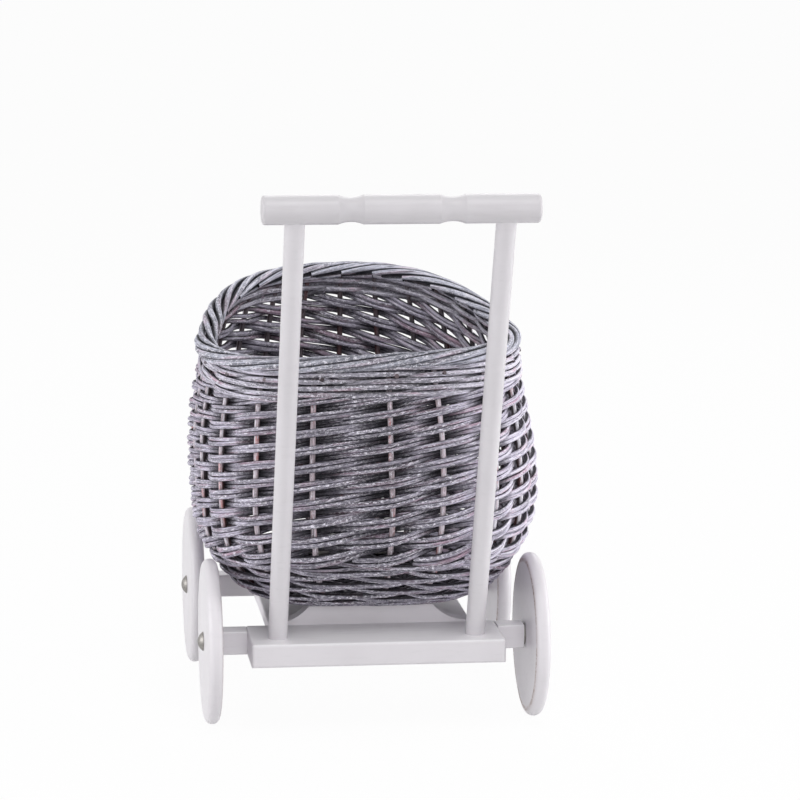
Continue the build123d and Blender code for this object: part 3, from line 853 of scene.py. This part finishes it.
# Cut ends of the stakes under the border, proud on the handle side and flush elsewhere
for place in STAKES:
    depths = np.array([CUT_END_ROOT, CUT_END_BEND, CUT_END_TIP - humps(place, CUT_ENDS_PROUD)])
    lap = place + CUT_END_AFTER + np.linspace(0, CUT_END_SLANT, len(depths))
    height = wall_height(lap, 1.0) - CUT_END_DROP + wobble(len(depths), CUT_END_DRIFT, SLOW_WAVES, False)
    points, _ = within(lap, height, depths)
    stakes.add(points, np.tile(UP, (len(points), 1)), chance.uniform(*CUT_END_RADII), False)
stakes.build("basket_stakes", stake_willow)

# Upsett: heavier wales packed close where the stakes turn up, and thinner rows that rise to the front
upsett = Rods(ROD_SIDES)
for row, height in enumerate(even_heights(BASE_TOP_Z, UPSETT_TOP_Z, UPSETT_WALES)):
    rope = UPSETT_ROPE * np.cos(wale_turn(row))
    weave_rod(upsett, height + rope, every_third(row, *WALE_PASSING), UPSETT_WALE_RADIUS, WALE_SWING)
for row in range(FILLER_ROWS):
    level = UPSETT_TOP_Z - FILLER_DROP + (FILLER_RISE + FILLER_STEP * row) * front_share(lap_line)
    weave_rod(upsett, level, every_other(row, -FILLER_PASSING, FILLER_PASSING), WALE_RADIUS, WALE_SWING)
upsett.build("basket_waling", willow, "basket_upsett")

# Base: rods woven round radiating sticks, then rows that flare out to the upsett
base = Rods(FLOOR_ROD_SIDES)
floor_middle = np.array([0, MIDDLE_Y, 0])
turns = turn_of(lap_line)
floor_edge = skin_at(turns, np.full_like(turns, BASKET_Z), 0) - floor_middle
for ring in range(FLOOR_RINGS):
    points = floor_edge * (ring + FLOOR_FIRST_RING) / (FLOOR_RINGS + FLOOR_MARGIN) + floor_middle
    points[:, 2] = FLOOR_Z + weave_offset(every_other(ring, 1.0, -1.0)) * FLOOR_WAVE
    base.add(points, np.tile(UP, (len(points), 1)), FLOOR_ROD_RADIUS, True, -1.0)
for place in STAKES:
    end = skin(np.array([place]), np.array([STICK_END_Z]), STAKE_DEPTH)[0]
    line = np.linspace([0, MIDDLE_Y, FLOOR_Z], end, STICK_STEPS)[1:]
    line[:, 2] = FLOOR_Z
    base.add(line, np.tile(UP, (len(line), 1)), FLOOR_STICK_RADIUS, False, -1.0)
for row, height in enumerate(even_heights(BASE_START_Z, BASE_TOP_Z, BASE_WALES)):
    level = np.full_like(lap_line, height)
    weave_rod(base, level, every_third(row, *BASE_PASSING), WALE_RADIUS, BASE_SWING)
base.build("basket_floor", willow, "basket_base")

# Border: each stake's end rolled over the rim and along it, past the next stakes, round two core rods
border = Rods(ROD_SIDES)
half_wide = BORDER_WIDTH / 2 - BORDER_ROD_RADIUS
half_high = BORDER_HEIGHT / 2 - BORDER_ROD_RADIUS
two_laps = np.concatenate([STAKES, STAKES + 1])
steps = np.linspace(0, 1, BORDER_STEPS)
thick = BORDER_ROD_RADIUS * np.interp(steps, *BORDER_PROFILE)
for start in range(STAKE_COUNT):
    edges = two_laps[start:start + BORDER_SPAN + 1]
    lap = np.interp(steps * BORDER_SPAN, np.arange(BORDER_SPAN + 1), edges)
    middle_z = rim_height(lap) - BORDER_HEIGHT / 2
    normals = outward(lap, middle_z) * LEVEL
    normals /= np.linalg.norm(normals, axis=1, keepdims=True)
    drift = wobble(BORDER_STEPS, BORDER_ROLL_DRIFT, SLOW_WAVES, False)
    roll = BORDER_ROLL_FROM + BORDER_ROLL * steps + drift
    points = rim_line(lap, middle_z, CORE_INSET) + normals * (half_wide * np.cos(roll))[:, None]
    points[:, 2] += half_high * np.sin(roll)
    away = normals * np.cos(roll)[:, None] + np.outer(np.sin(roll), UP)
    border.add(points, away, thick, False)
core_z = rim_height(lap_line) - BORDER_HEIGHT / 2
core_normals = outward(lap_line, core_z)
for shift in (-CORE_SHIFT, CORE_SHIFT):
    core_line = rim_line(lap_line, core_z, CORE_INSET + shift)
    border.add(core_line, core_normals, BORDER_CORE_RADIUS, True, -1.0)
border.build("basket_rim", rim_willow, "basket_border")


def seen_ray(tree):
    """One for rays that the camera or a reflection sees, nought for those that carry light."""
    path = tree.nodes.new("ShaderNodeLightPath")
    mirrored = maths(tree, "MAXIMUM", path.outputs["Is Glossy Ray"], path.outputs["Is Transmission Ray"])
    return maths(tree, "MAXIMUM", path.outputs["Is Camera Ray"], mirrored)


# Floor, white to the camera with a faint shadow
floor_mesh = bpy.data.meshes.new("floor")
floor_corners = [(x * FLOOR_HALF, y * FLOOR_HALF, 0) for x, y in ((-1, -1), (1, -1), (1, 1), (-1, 1))]
floor_mesh.from_pydata(floor_corners, [], [(0, 1, 2, 3)])
floor = bpy.data.objects.new("floor", floor_mesh)
bpy.context.scene.collection.objects.link(floor)
floor_material, tree, shader = node_tree("white_floor")
shader.inputs["Base Color"].default_value = FLOOR_GREY
shader.inputs["Roughness"].default_value = 0.9
glow = tree.nodes.new("ShaderNodeEmission")
blend = tree.nodes.new("ShaderNodeMixShader")
tree.links.new(spread(tree, seen_ray(tree), 0, 1, 0.0, FLOOR_WHITENESS), blend.inputs["Fac"])
tree.links.new(shader.outputs["BSDF"], blend.inputs[1])
tree.links.new(glow.outputs["Emission"], blend.inputs[2])
tree.links.new(blend.outputs["Shader"], tree.nodes["Material Output"].inputs["Surface"])
floor_mesh.materials.append(floor_material)

# World: plain soft light, white to the camera
world = bpy.data.worlds.new("studio")
bpy.context.scene.world = world
world.use_nodes = True
tree = world.node_tree
background = tree.nodes["Background"]
background.inputs["Color"].default_value = (1, 1, 1, 1)
tree.links.new(spread(tree, seen_ray(tree), 0, 1, WORLD_LIGHT, 1.0), background.inputs["Strength"])

# Lamps: square and soft, turned to the middle of the cart
for name, (place, size, power) in LAMPS.items():
    lamp = bpy.data.lights.new(name, "AREA")
    lamp.size = size
    lamp.energy = power
    holder = bpy.data.objects.new(name, lamp)
    bpy.context.scene.collection.objects.link(holder)
    holder.location = place
    holder.rotation_euler = (Vector(LAMP_AIM) - Vector(place)).to_track_quat("-Z", "Y").to_euler()

# Camera
forward = Vector((
    math.sin(CAMERA_YAW) * math.cos(CAMERA_PITCH),
    math.cos(CAMERA_YAW) * math.cos(CAMERA_PITCH),
    -math.sin(CAMERA_PITCH),
))
level_right = Vector((math.cos(CAMERA_YAW), -math.sin(CAMERA_YAW), 0))
level_up = level_right.cross(forward)
rolled_right = math.cos(CAMERA_ROLL) * level_right + math.sin(CAMERA_ROLL) * level_up
rolled_up = rolled_right.cross(forward)
eye = Vector(CAMERA_FROM_REAR_AXLE) + Vector((0, REAR_AXLE_Y, 0))
view = bpy.data.cameras.new("camera")
view.sensor_width = SENSOR_MM
view.lens = FOCAL_PIXELS * SENSOR_MM / IMAGE_PIXELS
camera = bpy.data.objects.new("camera", view)
bpy.context.scene.collection.objects.link(camera)
turned = Matrix((rolled_right, rolled_up, -forward)).transposed().to_4x4()
camera.matrix_world = Matrix.Translation(eye) @ turned
bpy.context.scene.camera = camera
bpy.context.scene.view_settings.view_transform = "Standard"
